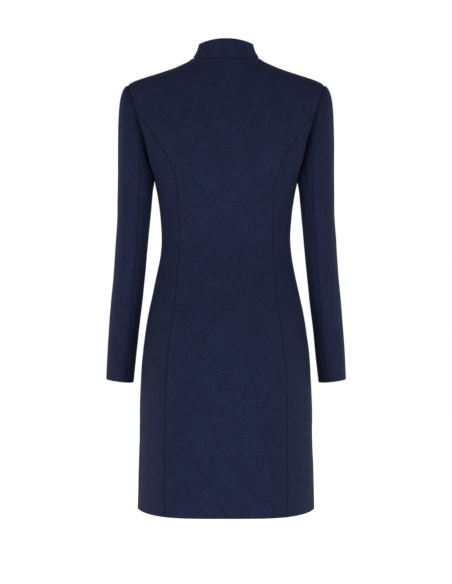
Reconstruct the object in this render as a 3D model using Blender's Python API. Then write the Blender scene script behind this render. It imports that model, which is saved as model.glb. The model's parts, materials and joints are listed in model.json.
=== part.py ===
"""A fitted, long-sleeved coat with a stand collar, worn by nobody, at its real size in metres.

+Z is up, the front faces -Y and the wearer's left is +X. The origin is the middle of the neck, level
with the two points where the shoulder seams meet the collar. Every piece is a wall of cloth with its
outer face on one smooth form, so the pieces meet along shared seam lines with a narrow gap.

A place on the body is a turn and a height. The turn is the angle round the body in degrees, from 0 at
the centre front past 90 at the left side seam to 180 at the centre back. Above the armhole the turn of
90 is the shoulder seam. A place on a sleeve is an angle round the arm, from 0 on the outside past 90
at the back to 180 beside the body, and a distance down the sleeve.
"""

import math
from bisect import bisect_right
from functools import lru_cache
from types import SimpleNamespace

import bpy
from mathutils import Vector

# ---------------------------------------------------------------- driving sizes

CLOTH_THICKNESS = 0.002
SEAM_GAP = 0.0003

HEM_HEIGHT = -0.9275
LEVEL_TOP = -0.420  # up to here the rows of a panel are level; above it they lean to the armhole
NECK_HALF_WIDTH = 0.068
FRONT_NECK_DROP = 0.075
BACK_NECK_DROP = 0.0065

# The side of the body seen from behind: the side seams, then the line that an armhole cuts away,
# then the shoulder seams up to the neck.
OUTLINE_COLUMNS = ("height", "half_width")
OUTLINE = (
    (-0.9275, 0.1815),
    (-0.868, 0.1805),
    (-0.787, 0.1778),
    (-0.704, 0.1764),
    (-0.642, 0.1737),
    (-0.600, 0.1702),
    (-0.560, 0.1650),
    (-0.518, 0.1577),
    (-0.477, 0.1486),
    (-0.436, 0.1399),
    (-0.405, 0.1343),
    (-0.374, 0.1320),
    (-0.333, 0.1341),
    (-0.292, 0.1392),
    (-0.255, 0.1470),
    (-0.214, 0.1665),
    (-0.180, 0.1800),
    (-0.150, 0.1910),
    (-0.119, 0.2035),
    (-0.101, 0.2105),
    (-0.083, 0.2140),
    (-0.068, 0.2125),
    (-0.060, 0.2070),
    (-0.0555, 0.2020),
    (-0.049, 0.1900),
    (-0.042, 0.1715),
    (-0.030, 0.1340),
    (-0.020, 0.1058),
    (-0.014, 0.0920),
    (-0.008, 0.0790),
    (-0.004, 0.0725),
    (0.000, 0.0680),
    (0.004, 0.0645),
)

# How far the cloth stands out behind and in front of the side seams, and the shape of each half of
# the section: its depth falls to the sides as (1 - (x / half_width) ** flat) ** fall. An ellipse has
# a flat of 2 and a fall of 0.5. A higher flat keeps the middle flatter and a higher fall makes the
# sides more pointed.
DEPTH_COLUMNS = (
    "height",
    "back",
    "back_flat",
    "back_fall",
    "front",
    "front_flat",
    "front_fall",
)
DEPTHS = (
    (-0.9275, 0.1330, 3.80, 0.72, 0.1310, 3.20, 0.68),
    (-0.787, 0.1295, 3.00, 0.63, 0.1270, 2.80, 0.62),
    (-0.642, 0.1280, 2.60, 0.54, 0.1230, 2.50, 0.54),
    (-0.560, 0.1220, 2.40, 0.48, 0.1190, 2.35, 0.49),
    (-0.477, 0.1060, 2.30, 0.44, 0.1090, 2.25, 0.45),
    (-0.405, 0.0915, 2.25, 0.44, 0.0985, 2.20, 0.45),
    (-0.374, 0.0900, 2.20, 0.45, 0.0970, 2.20, 0.45),
    (-0.333, 0.0950, 2.25, 0.44, 0.1040, 2.25, 0.44),
    (-0.292, 0.1010, 2.30, 0.43, 0.1135, 2.30, 0.43),
    (-0.255, 0.1050, 2.40, 0.42, 0.1180, 2.35, 0.43),
    (-0.214, 0.1065, 2.45, 0.41, 0.1155, 2.30, 0.43),
    (-0.150, 0.1020, 2.40, 0.42, 0.1020, 2.20, 0.45),
    (-0.101, 0.0915, 2.10, 0.48, 0.0830, 2.00, 0.50),
    (-0.056, 0.0770, 1.75, 0.57, 0.0625, 1.75, 0.57),
    (-0.030, 0.0680, 1.70, 0.59, 0.0550, 1.70, 0.59),
    (-0.014, 0.0615, 1.75, 0.57, 0.0520, 1.75, 0.57),
    (0.004, 0.0540, 1.90, 0.53, 0.0490, 1.90, 0.53),
)

# The soft rounds that the seams build into the flat cloth, one to each side of the centre line.
BUST = SimpleNamespace(out=0.011, side=0.086, height=-0.250, spread=0.060, rise=0.075)
SHOULDER_BLADE = SimpleNamespace(out=0.004, side=0.085, height=-0.165, spread=0.050, rise=0.070)

# The shaped seams of the back and the front: distance from the centre line at each height, from the
# hem up to the armhole, which each one meets at an angle round the armhole.
SEAM_COLUMNS = ("height", "from_centre")
BACK_SHAPED_SEAM = (
    (-0.9275, 0.1215),
    (-0.800, 0.1222),
    (-0.704, 0.1215),
    (-0.623, 0.1182),
    (-0.537, 0.1085),
    (-0.497, 0.1025),
    (-0.450, 0.0985),
    (-0.400, 0.0955),
    (-0.350, 0.0950),
    (-0.300, 0.0965),
    (-0.258, 0.1010),
    (-0.217, 0.1135),
    (-0.197, 0.1255),
    (-0.169, 0.1430),
    (-0.144, 0.1590),
)
FRONT_SHAPED_SEAM = (
    (-0.9275, 0.1180),
    (-0.704, 0.1100),
    (-0.560, 0.1000),
    (-0.450, 0.0860),
    (-0.374, 0.0800),
    (-0.300, 0.0850),
    (-0.255, 0.0920),
    (-0.215, 0.1040),
    (-0.180, 0.1230),
    (-0.150, 0.1450),
)

# The armhole seen from the side is an egg, from the shoulder point down to the side seam.
ARMHOLE = SimpleNamespace(top=-0.0555, bottom=-0.255, back_reach=0.052, front_reach=0.054)
BACK_SEAM_MEETS = 68.5
FRONT_SEAM_MEETS = -72.0

# The fronts lap over each other at the centre, the wearer's right one outside. Each is lifted off
# the form by half the step between them, which fades out beside the lap.
LAP = SimpleNamespace(half=0.020, fades=0.030, lift=(CLOTH_THICKNESS + SEAM_GAP) / 2)

# The sleeve below the armhole, seen from behind: its outer and inner edges, and seen from the side:
# its middle line and half its depth. The cuff edge rises a little towards the outside.
SLEEVE_COLUMNS = ("height", "outer", "inner", "middle", "half_depth")
SLEEVE = (
    (-0.275, 0.2226, 0.1502, 0.002, 0.0600),
    (-0.312, 0.2228, 0.1537, 0.003, 0.0580),
    (-0.374, 0.2263, 0.1596, 0.003, 0.0560),
    (-0.436, 0.2306, 0.1655, 0.000, 0.0545),
    (-0.498, 0.2368, 0.1721, -0.006, 0.0525),
    (-0.559, 0.2417, 0.1798, -0.013, 0.0505),
    (-0.621, 0.2466, 0.1870, -0.021, 0.0485),
    (-0.665, 0.2492, 0.1920, -0.027, 0.0470),
)
CAP_BOTTOM = -0.275
CUFF_HEIGHT = -0.6655
CUFF_TILT = 0.125  # rise of the cuff edge per metre towards the outside

# How the sleeve cap leaves the armhole, at the shoulder and under the arm: its direction as shares
# out, down and to the sides, how far it keeps to that direction, and how far above the arm it has
# come in line with it.
CAP_AT_SHOULDER = SimpleNamespace(out=0.88, down=0.34, keeps=0.026, in_line=0.145)
CAP_UNDER_ARM = SimpleNamespace(out=0.15, down=0.95, keeps=0.004, in_line=0.005)
CAP_TO_SIDES = 0.42
CAP_FADE = 1.3

# The sleeve's two seams, as angles round the arm at the armhole, under the arm and at the cuff.
SLEEVE_BACK_SEAM = (106.0, 111.0, 128.0)
SLEEVE_FRONT_SEAM = (-125.0, -125.0, -128.0)

# The collar stands on the neckline. Its top edge seen from above is close to an ellipse.
COLLAR = SimpleNamespace(half_width=0.0560, back=0.0560, front=0.0540, square=2.1, hollow=0.0018)
COLLAR_RISE = SimpleNamespace(back=0.0385, side=0.0295, front=0.0340)

# How finely each stretch is cut into flat faces.
LEVEL_ROWS = 13
RISING_ROWS = 8
SHOULDER_ROWS = 6
CENTRE_COLUMNS = 9
ARMHOLE_STEPS = SimpleNamespace(upper=5, middle=3, lower=5)
CAP_STATIONS = (0.0, 0.06, 0.13, 0.22, 0.33, 0.46, 0.60, 0.74, 0.87)
ARM_ROWS = 12
COLLAR_ROWS = 4

CLOTH_COLOUR = (0.018, 0.022, 0.050)
CLOTH_ROUGHNESS = 0.85
SHARP_ANGLE = 40.0


# ---------------------------------------------------------------- curves and tables


def smooth_curve(stations, values):
    """A curve through the values, which never overshoots them between two stations."""
    gaps = [after - before for before, after in zip(stations, stations[1:])]
    rises = [(b - a) / gap for a, b, gap in zip(values, values[1:], gaps)]
    slopes = [rises[0]]
    for before, after in zip(rises, rises[1:]):
        same_way = before * after > 0
        slopes.append(2 * before * after / (before + after) if same_way else 0.0)
    slopes.append(rises[-1])

    def curve(station):
        if station <= stations[0]:
            return values[0] + slopes[0] * (station - stations[0])
        if station >= stations[-1]:
            return values[-1] + slopes[-1] * (station - stations[-1])
        i = bisect_right(stations, station) - 1
        t = (station - stations[i]) / gaps[i]
        start = values[i] * (1 + 2 * t) * (1 - t) ** 2 + slopes[i] * gaps[i] * t * (1 - t) ** 2
        end = values[i + 1] * t * t * (3 - 2 * t) + slopes[i + 1] * gaps[i] * t * t * (t - 1)
        return start + end

    return curve


def read_table(columns, rows):
    """The columns of a table as curves of its first column."""
    rows = sorted(rows)
    stations = [row[0] for row in rows]
    curves = {
        name: smooth_curve(stations, [row[i] for row in rows])
        for i, name in enumerate(columns)
        if i > 0
    }
    return SimpleNamespace(**curves)


def spread(first, last, steps):
    """Evenly spaced numbers from first to last, both included."""
    return [first + (last - first) * i / steps for i in range(steps + 1)]


def mix(a, b, share):
    return a + (b - a) * share


def even_shares(path, steps):
    """Shares of a path, from 0 to 1, that cut it into stretches of equal length."""
    fine = 48
    points = [path(i / fine) for i in range(fine + 1)]
    lengths = [0.0]
    for before, after in zip(points, points[1:]):
        lengths.append(lengths[-1] + (after - before).length)
    shares = [0.0]
    for i in range(1, steps):
        target = lengths[-1] * i / steps
        j = bisect_right(lengths, target) - 1
        shares.append((j + (target - lengths[j]) / (lengths[j + 1] - lengths[j])) / fine)
    return shares + [1.0]


outline = read_table(OUTLINE_COLUMNS, OUTLINE)
depths = read_table(DEPTH_COLUMNS, DEPTHS)
sleeve_sizes = read_table(SLEEVE_COLUMNS, SLEEVE)


# ---------------------------------------------------------------- the body's form


def section_at(height, behind):
    """Half width, depth, flat and fall of the body's section at a height, behind or in front."""
    half_width = outline.half_width(height)
    if behind:
        return half_width, depths.back(height), depths.back_flat(height), depths.back_fall(height)
    return half_width, depths.front(height), depths.front_flat(height), depths.front_fall(height)


def soft_round(shape, x, height):
    """How far the pair of soft rounds pushes the cloth out at a place."""
    along = ((height - shape.height) / shape.rise) ** 2
    across = [((x - side) / shape.spread) ** 2 for side in (shape.side, -shape.side)]
    return shape.out * sum(math.exp(-along - distance) for distance in across)


def body_point(turn, height):
    """The point of the body's form at a turn in degrees and a height."""
    sine, cosine = math.sin(math.radians(turn)), math.cos(math.radians(turn))
    behind = cosine < 0
    half_width, depth, flat, fall = section_at(height, behind)
    x = math.copysign(half_width * abs(sine) ** (2 / flat), sine)
    y = depth * abs(cosine) ** (2 * fall)
    y += abs(cosine) * soft_round(SHOULDER_BLADE if behind else BUST, x, height)
    return Vector((x, y if behind else -y, height))


def body_normal(turn, height):
    """The direction that faces out of the body's form."""
    step_turn, step_height = 0.25, 0.0004
    round_it = body_point(turn + step_turn, height) - body_point(turn - step_turn, height)
    up_it = body_point(turn, height + step_height) - body_point(turn, height - step_height)
    return round_it.cross(up_it).normalized()


def turn_at_side_distance(distance, height, behind):
    """The turn at which the form is this far from the centre line."""
    half_width, _, flat, _ = section_at(height, behind)
    turn = math.degrees(math.asin(min(distance / half_width, 1.0) ** (flat / 2)))
    return 180 - turn if behind else turn


def solve_neck_height(turn):
    """Where the neckline, an oval seen from behind or in front, crosses the form at a turn."""
    drop = BACK_NECK_DROP if turn > 90 else FRONT_NECK_DROP
    low, high = -drop, 0.0
    for _ in range(40):
        height = (low + high) / 2
        neck_x = NECK_HALF_WIDTH * math.sqrt(1 - (height / drop) ** 2)
        if body_point(turn, height).x > neck_x:
            low = height
        else:
            high = height
    return (low + high) / 2


NECK_TURNS = spread(0.0, 180.0, 60)
neck_curve = smooth_curve(NECK_TURNS, [solve_neck_height(turn) for turn in NECK_TURNS])


def neck_height(turn):
    """The height of the neckline at a turn, to either side."""
    return neck_curve(min(abs(turn), 180.0))


def armhole_place(angle):
    """The turn and height of the armhole at an angle: 0 at the shoulder, 90 behind, 180 below."""
    middle = (ARMHOLE.top + ARMHOLE.bottom) / 2
    height = middle + (ARMHOLE.top - ARMHOLE.bottom) / 2 * math.cos(math.radians(angle))
    sine = math.sin(math.radians(angle))
    behind = sine > 0
    reach = abs(sine) * (ARMHOLE.back_reach if behind else ARMHOLE.front_reach)
    _, depth, _, fall = section_at(height, behind)
    lean = math.degrees(math.acos(min(reach / depth, 1.0) ** (0.5 / fall)))
    return (180 - lean if behind else lean), height


def armhole_angles(behind, part):
    """The angles at which every piece that meets the armhole has its points."""
    steps = ARMHOLE_STEPS
    meets = BACK_SEAM_MEETS if behind else FRONT_SEAM_MEETS
    sleeve_seam = SLEEVE_BACK_SEAM[0] if behind else SLEEVE_FRONT_SEAM[0]
    below = 180.0 if behind else -180.0
    return {
        "upper": spread(0.0, meets, steps.upper),
        "middle": spread(meets, sleeve_seam, steps.middle),
        "lower": spread(sleeve_seam, below, steps.lower),
    }[part]


# ---------------------------------------------------------------- seams of the body


def shaped_seam(behind):
    """The turn of the shaped seam as a function of height, ending on the armhole."""
    rows = BACK_SHAPED_SEAM if behind else FRONT_SHAPED_SEAM
    turn, height = armhole_place(BACK_SEAM_MEETS if behind else FRONT_SEAM_MEETS)
    end = (height, abs(body_point(turn, height).x))
    from_centre = read_table(SEAM_COLUMNS, rows + (end,)).from_centre
    return lambda at: turn_at_side_distance(from_centre(at), at, behind)


back_seam_turn = shaped_seam(True)
front_seam_turn = shaped_seam(False)


def level_heights():
    return spread(HEM_HEIGHT, LEVEL_TOP, LEVEL_ROWS)


def centre_edge_places(behind):
    """The outer edge of a centre panel from the hem up: shaped seam, armhole, then shoulder seam."""
    seam = back_seam_turn if behind else front_seam_turn
    angles = armhole_angles(behind, "upper")
    junction = armhole_place(angles[-1])[1]
    heights = level_heights() + spread(LEVEL_TOP, junction, RISING_ROWS)[1:]
    places = [(seam(height), height) for height in heights[:-1]]
    places += [armhole_place(angle) for angle in reversed(angles)]
    places += [(90.0, height) for height in spread(ARMHOLE.top, 0.0, SHOULDER_ROWS)[1:]]
    return places


def lean_to_neck(height, edge_turn, turn):
    """The height of a row at a turn, so that rows near the top run along the neckline."""
    if height <= LEVEL_TOP:
        return height
    at_edge = neck_height(edge_turn) - LEVEL_TOP
    return LEVEL_TOP + (height - LEVEL_TOP) * (neck_height(turn) - LEVEL_TOP) / at_edge


def even_turns(height_at, first, last, steps):
    """Turns from first to last that space points evenly along a row of the body's form."""

    def path(share):
        turn = mix(first, last, share)
        return body_point(turn, height_at(turn))

    return [mix(first, last, share) for share in even_shares(path, steps)]


def lap_turn(height_at):
    """The turn at which a row of the front reaches the edge of the lap."""
    turn = 0.0
    for _ in range(6):
        turn = turn_at_side_distance(LAP.half, height_at(turn), False)
    return turn


def front_row_turns(edge_turn, edge_height):
    """The turns of a row of the left front, from its edge past the centre line outwards."""

    def height_at(turn):
        return lean_to_neck(edge_height, edge_turn, turn)

    lap = lap_turn(height_at)
    return [-lap, 0.0] + even_turns(height_at, lap, edge_turn, CENTRE_COLUMNS - 1)


def back_row_turns(edge_turn, edge_height):
    """The turns of a row of the left half of the centre back, from its edge to the centre."""

    def height_at(turn):
        return lean_to_neck(edge_height, edge_turn, turn)

    return even_turns(height_at, edge_turn, 180.0, CENTRE_COLUMNS)


@lru_cache(maxsize=None)
def side_row_turns(behind, height, steps):
    """The turns of a level row of a side panel, from the shaped seam to the side seam."""
    seam = back_seam_turn if behind else front_seam_turn
    return even_turns(lambda turn: height, seam(height), 90.0, steps)


def surface_place(turn, height, lift=0.0):
    """A point of the body with its outward direction, lifted off the form where pieces lap."""
    normal = body_normal(turn, height)
    return body_point(turn, height) + normal * lift, normal


# ---------------------------------------------------------------- walls of cloth


def pull_edges_back(grid):
    """Moves the edge points of a grid inwards by half the seam gap, along the cloth."""
    rows, columns = len(grid), len(grid[0])
    points = [[place[0].copy() for place in row] for row in grid]

    def pull(row, column, inner_row, inner_column, along):
        before_row, before_column = max(row - along[0], 0), max(column - along[1], 0)
        after_row, after_column = min(row + along[0], rows - 1), min(column + along[1], columns - 1)
        edge = points[after_row][after_column] - points[before_row][before_column]
        inwards = points[inner_row][inner_column] - points[row][column]
        inwards -= edge * (inwards.dot(edge) / edge.length_squared)
        point, normal = grid[row][column]
        grid[row][column] = (point + inwards.normalized() * SEAM_GAP / 2, normal)

    for column in range(columns):
        pull(0, column, 1, column, (0, 1))
        pull(rows - 1, column, rows - 2, column, (0, 1))
    for row in range(rows):
        pull(row, 0, row, 1, (1, 0))
        pull(row, columns - 1, row, columns - 2, (1, 0))
    return grid


def cloth_material():
    material = bpy.data.materials.new("navy_wool")
    material.use_nodes = True
    shader = material.node_tree.nodes["Principled BSDF"]
    shader.inputs["Base Color"].default_value = (*CLOTH_COLOUR, 1.0)
    shader.inputs["Roughness"].default_value = CLOTH_ROUGHNESS
    shader.inputs["Metallic"].default_value = 0.0
    return material


def add_wall(name, grid, material, collection, side=1):
    """A closed wall of cloth from a grid of outer points. Side -1 makes it for the right."""
    rows, columns = len(grid), len(grid[0])
    grid = pull_edges_back(grid)
    outer, inner = [], []
    for row in grid:
        for point, normal in row:
            for layer, depth in ((outer, 0.0), (inner, CLOTH_THICKNESS)):
                place = point - normal * depth
                layer.append((place.x * side, place.y, place.z))

    def at(layer, row, column):
        return layer * rows * columns + row * columns + column

    faces = []
    for row in range(rows - 1):
        for column in range(columns - 1):
            here, across = (row, column), (row + 1, column + 1)
            beside, above = (row, column + 1), (row + 1, column)
            faces.append([at(0, *corner) for corner in (here, beside, across, above)])
            faces.append([at(1, *corner) for corner in (here, above, across, beside)])
    rim = [(0, column) for column in range(columns)]
    rim += [(row, columns - 1) for row in range(1, rows)]
    rim += [(rows - 1, column) for column in range(columns - 2, -1, -1)]
    rim += [(row, 0) for row in range(rows - 2, 0, -1)]
    for here, there in zip(rim, rim[1:] + rim[:1]):
        faces.append([at(0, *there), at(0, *here), at(1, *here), at(1, *there)])
    if side < 0:
        faces = [face[::-1] for face in faces]

    mesh = bpy.data.meshes.new(name)
    mesh.from_pydata(outer + inner, [], faces)
    mesh.materials.append(material)
    mesh.shade_smooth()
    mesh.set_sharp_from_angle(angle=math.radians(SHARP_ANGLE))
    wall = bpy.data.objects.new(name, mesh)
    collection.objects.link(wall)
    return wall


# ---------------------------------------------------------------- panels of the body


def mirrored(place):
    point, normal = place
    return Vector((-point.x, point.y, point.z)), Vector((-normal.x, normal.y, normal.z))


def centre_back_grid():
    """The whole centre back, from the left shaped seam to the right one."""
    grid = []
    for edge_turn, edge_height in centre_edge_places(True):
        row = []
        for turn in back_row_turns(edge_turn, edge_height):
            row.append(surface_place(turn, lean_to_neck(edge_height, edge_turn, turn)))
        grid.append(row + [mirrored(place) for place in reversed(row[:-1])])
    return grid


def centre_front_grid(lift):
    """The left front, from its edge past the centre line to its shaped seam."""
    grid = []
    for edge_turn, edge_height in centre_edge_places(False):
        row = []
        for turn in front_row_turns(edge_turn, edge_height):
            height = lean_to_neck(edge_height, edge_turn, turn)
            beyond = (body_point(turn, height).x - LAP.half) / LAP.fades
            fade = 1 - min(max(beyond, 0.0), 1.0)
            row.append(surface_place(turn, height, lift * fade * fade * (3 - 2 * fade)))
        grid.append(row)
    return grid


def side_panel_grid(behind):
    """The left side panel, from its shaped seam round to the side seam, up to the armhole."""
    angles = armhole_angles(behind, "middle") + armhole_angles(behind, "lower")[1:]
    tops = [armhole_place(angle) for angle in angles]
    steps = len(tops) - 1
    rows = [(height, 0.0) for height in level_heights()]
    rows += [(LEVEL_TOP, rise) for rise in spread(0.0, 1.0, RISING_ROWS)[1:]]
    grid = []
    for level, rise in rows:
        row = []
        for column, (top_turn, top_height) in enumerate(tops):
            height = mix(level, top_height, rise)
            turn = side_row_turns(behind, height, steps)[column]
            turn += (top_turn - side_row_turns(behind, top_height, steps)[column]) * rise**2
            row.append(surface_place(turn, height))
        grid.append(row[::-1] if behind else row)
    return grid


# ---------------------------------------------------------------- sleeves


def arm_point(angle, height):
    """A point of the sleeve below the armhole, at an angle round the arm."""
    outer, inner = sleeve_sizes.outer(height), sleeve_sizes.inner(height)
    sine, cosine = math.sin(math.radians(angle)), math.cos(math.radians(angle))
    x = (outer + inner) / 2 + (outer - inner) / 2 * cosine
    y = sleeve_sizes.middle(height) + sleeve_sizes.half_depth(height) * sine
    drop = max(0.0, (CAP_BOTTOM - height) / (CAP_BOTTOM - CUFF_HEIGHT))
    return Vector((x, y, height + CUFF_TILT * drop * (x - (outer + inner) / 2)))


def cap_point(angle, share):
    """A point of the sleeve cap, from the armhole at share 0 down to the arm at share 1."""
    top, below, step = CAP_AT_SHOULDER, CAP_UNDER_ARM, 0.002
    low = (1 - math.cos(math.radians(angle))) / 2
    start = body_point(*armhole_place(angle)) + Vector((SEAM_GAP * low, 0.0, 0.0))
    out, down = mix(top.out, below.out, low**2), mix(top.down, below.down, low**2)
    away = Vector((out, CAP_TO_SIDES * math.sin(math.radians(angle)), -down)).normalized()
    first = start + away * mix(top.keeps, below.keeps, low**2)
    end = arm_point(angle, CAP_BOTTOM)
    slope = (end - arm_point(angle, CAP_BOTTOM - step)) / step
    second = end + slope * (top.in_line * (1 - low) ** CAP_FADE + below.in_line * low)
    rest = 1 - share
    return (
        start * rest**3
        + first * (3 * rest**2 * share)
        + second * (3 * rest * share**2)
        + end * share**3
    )


def sleeve_point(angle, along):
    """A point of the sleeve: along runs from 0 at the armhole to 1 under the arm to 2 at the cuff."""
    if along < 1:
        return cap_point(angle, along)
    return arm_point(angle, mix(CAP_BOTTOM, CUFF_HEIGHT, along - 1))


def sleeve_place(angle, along):
    """A point of the sleeve with its outward direction."""
    step_angle, step_along = 0.25, 0.002
    round_it = sleeve_point(angle + step_angle, along) - sleeve_point(angle - step_angle, along)
    above, below = max(along - step_along, 0.0), min(along + step_along, 2.0)
    down_it = sleeve_point(angle, below) - sleeve_point(angle, above)
    return sleeve_point(angle, along), down_it.cross(round_it).normalized()


def seam_angle(angles, along):
    """The angle of a sleeve seam, which drifts from the armhole to the cuff."""
    at_armhole, under_arm, at_cuff = angles
    if along < 1:
        return mix(at_armhole, under_arm, along)
    return mix(under_arm, at_cuff, along - 1)


def sleeve_grid(upper):
    """The left upper sleeve, over the outside of the arm, or the left under sleeve."""
    behind = [armhole_angles(True, part) for part in ("upper", "middle", "lower")]
    before = [armhole_angles(False, part) for part in ("upper", "middle", "lower")]
    if upper:
        angles = before[1][::-1] + before[0][::-1][1:] + behind[0][1:] + behind[1][1:]
        seams = SLEEVE_FRONT_SEAM, SLEEVE_BACK_SEAM
    else:
        angles = behind[2] + [angle + 360.0 for angle in before[2][::-1][1:]]
        seams = SLEEVE_BACK_SEAM, tuple(angle + 360.0 for angle in SLEEVE_FRONT_SEAM)
    first, last = angles[0], angles[-1]
    stations = list(CAP_STATIONS) + spread(1.0, 2.0, ARM_ROWS)
    grid = []
    for along in reversed(stations):
        start, end = (seam_angle(seam, along) for seam in seams)
        shares = [(angle - first) / (last - first) for angle in angles]
        grid.append([sleeve_place(mix(start, end, share), along) for share in shares])
    return grid


# ---------------------------------------------------------------- collar


def collar_turns():
    """The turns of the collar's left half, which the fronts and the back have at the neckline."""
    return front_row_turns(90.0, 0.0)[1:] + back_row_turns(90.0, 0.0)[1:]


def collar_point(turn, share):
    """A point of the collar, from the neckline at share 0 to its top edge at share 1."""
    base = body_point(turn, neck_height(turn))
    round_neck = math.atan2(base.x, -base.y)
    sine, cosine = math.sin(round_neck), math.cos(round_neck)
    behind = cosine < 0
    power = 2 / COLLAR.square
    rise = mix(COLLAR_RISE.side, COLLAR_RISE.back if behind else COLLAR_RISE.front, cosine**2)
    reach = COLLAR.back if behind else -COLLAR.front
    top = Vector(
        (
            math.copysign(COLLAR.half_width * abs(sine) ** power, sine),
            reach * abs(cosine) ** power,
            base.z + rise,
        )
    )
    hollow = Vector((sine, -cosine, 0.0)) * COLLAR.hollow * 4 * share * (1 - share)
    return base.lerp(top, share) - hollow


def collar_place(turn, share):
    """A point of the collar with its outward direction, which is the body's own at the neckline."""
    if share == 0:
        return collar_point(turn, share), body_normal(turn, neck_height(turn))
    step_turn, step_share = 0.5, 0.01
    low, high = max(share - step_share, 0.0), min(share + step_share, 1.0)
    round_it = collar_point(turn + step_turn, share) - collar_point(turn - step_turn, share)
    up_it = collar_point(turn, high) - collar_point(turn, low)
    return collar_point(turn, share), round_it.cross(up_it).normalized()


def collar_grid():
    """The whole collar, from its left end at the centre front round the back to its right end."""
    grid = []
    for share in spread(0.0, 1.0, COLLAR_ROWS):
        left = [collar_place(turn, share) for turn in collar_turns()]
        grid.append(left + [mirrored(place) for place in reversed(left[:-1])])
    return grid


# ---------------------------------------------------------------- the coat


def build_coat():
    for leftover in list(bpy.data.objects):
        bpy.data.objects.remove(leftover)
    coat = bpy.data.collections.new("coat")
    bpy.context.scene.collection.children.link(coat)
    cloth = cloth_material()

    add_wall("back_centre", centre_back_grid(), cloth, coat)
    add_wall("front_left", centre_front_grid(-LAP.lift), cloth, coat)
    add_wall("front_right", centre_front_grid(LAP.lift), cloth, coat, side=-1)
    add_wall("collar", collar_grid(), cloth, coat)
    for name, side in (("left", 1), ("right", -1)):
        add_wall(f"back_side_{name}", side_panel_grid(True), cloth, coat, side)
        add_wall(f"front_side_{name}", side_panel_grid(False), cloth, coat, side)
        add_wall(f"sleeve_upper_{name}", sleeve_grid(True), cloth, coat, side)
        add_wall(f"sleeve_under_{name}", sleeve_grid(False), cloth, coat, side)


build_coat()
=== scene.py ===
# %% [markdown]
# # A fitted coat with long sleeves and a stand collar
#
# The coat hangs in the air as if worn, seen from behind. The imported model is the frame: twelve plain
# walls of cloth, one for each piece that a maker cuts. This lesson makes the finished cloth for each
# of them, on the same form, and hides the plain wall behind it.

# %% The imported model, on a cleared table
import bpy
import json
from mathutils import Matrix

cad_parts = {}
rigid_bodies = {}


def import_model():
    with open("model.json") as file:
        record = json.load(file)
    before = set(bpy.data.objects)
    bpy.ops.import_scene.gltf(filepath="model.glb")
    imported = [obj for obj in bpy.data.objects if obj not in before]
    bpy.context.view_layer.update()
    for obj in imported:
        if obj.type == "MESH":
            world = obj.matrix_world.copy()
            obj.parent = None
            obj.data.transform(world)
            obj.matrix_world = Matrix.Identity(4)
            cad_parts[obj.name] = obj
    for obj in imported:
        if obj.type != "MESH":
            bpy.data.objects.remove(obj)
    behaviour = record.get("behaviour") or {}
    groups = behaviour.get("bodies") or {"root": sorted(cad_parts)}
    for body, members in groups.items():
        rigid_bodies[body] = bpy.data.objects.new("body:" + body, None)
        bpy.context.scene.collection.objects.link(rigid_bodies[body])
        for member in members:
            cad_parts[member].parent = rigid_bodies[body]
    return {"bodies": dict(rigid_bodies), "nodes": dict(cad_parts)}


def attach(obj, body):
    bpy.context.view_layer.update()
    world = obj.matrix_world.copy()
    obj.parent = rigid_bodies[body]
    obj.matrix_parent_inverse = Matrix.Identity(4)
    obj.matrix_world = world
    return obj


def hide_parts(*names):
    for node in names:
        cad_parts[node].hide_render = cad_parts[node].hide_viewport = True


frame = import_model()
packed = set(frame["nodes"].values()) | set(frame["bodies"].values())
for leftover in [thing for thing in bpy.data.objects if thing not in packed]:
    bpy.data.objects.remove(leftover)
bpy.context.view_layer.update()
print("pieces to finish:", ", ".join(sorted(frame["nodes"])))

# %% What the lesson needs
import json
import math
from bisect import bisect_right
from functools import lru_cache
from itertools import accumulate
from types import SimpleNamespace

import bmesh
import numpy as np
from mathutils import Vector, noise

# %% [markdown]
# ## The form of the body
#
# A tailor shapes flat cloth over a stand. Here the stand is a table of sections from the hem up to the
# neck. Each section has a half width, a depth behind and in front, and two powers that say how flat its
# middle and how pointed its sides are. A smooth curve through each column gives the sizes at any
# height. This beats pushing points about by hand, because every piece can then lie on one shared form
# and meet its neighbour along the same line. All sizes are metres, the neck is the origin, the front
# faces -Y and the wearer's left is +X.

# %% Sizes of the body
HEM_HEIGHT = -0.9275
LEVEL_TOP = -0.420  # up to here the rows of a panel are level; above it they lean to the armhole
NECK_HALF_WIDTH = 0.068
FRONT_NECK_DROP = 0.075
BACK_NECK_DROP = 0.0065

OUTLINE_COLUMNS = ("height", "half_width")
OUTLINE = (
    (-0.9275, 0.1815),
    (-0.868, 0.1805),
    (-0.787, 0.1778),
    (-0.704, 0.1764),
    (-0.642, 0.1737),
    (-0.600, 0.1702),
    (-0.560, 0.1650),
    (-0.518, 0.1577),
    (-0.477, 0.1486),
    (-0.436, 0.1399),
    (-0.405, 0.1343),
    (-0.374, 0.1320),
    (-0.333, 0.1341),
    (-0.292, 0.1392),
    (-0.255, 0.1470),
    (-0.214, 0.1665),
    (-0.180, 0.1800),
    (-0.150, 0.1910),
    (-0.119, 0.2035),
    (-0.101, 0.2105),
    (-0.083, 0.2140),
    (-0.068, 0.2125),
    (-0.060, 0.2070),
    (-0.0555, 0.2020),
    (-0.049, 0.1900),
    (-0.042, 0.1715),
    (-0.030, 0.1340),
    (-0.020, 0.1058),
    (-0.014, 0.0920),
    (-0.008, 0.0790),
    (-0.004, 0.0725),
    (0.000, 0.0680),
    (0.004, 0.0645),
)

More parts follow.
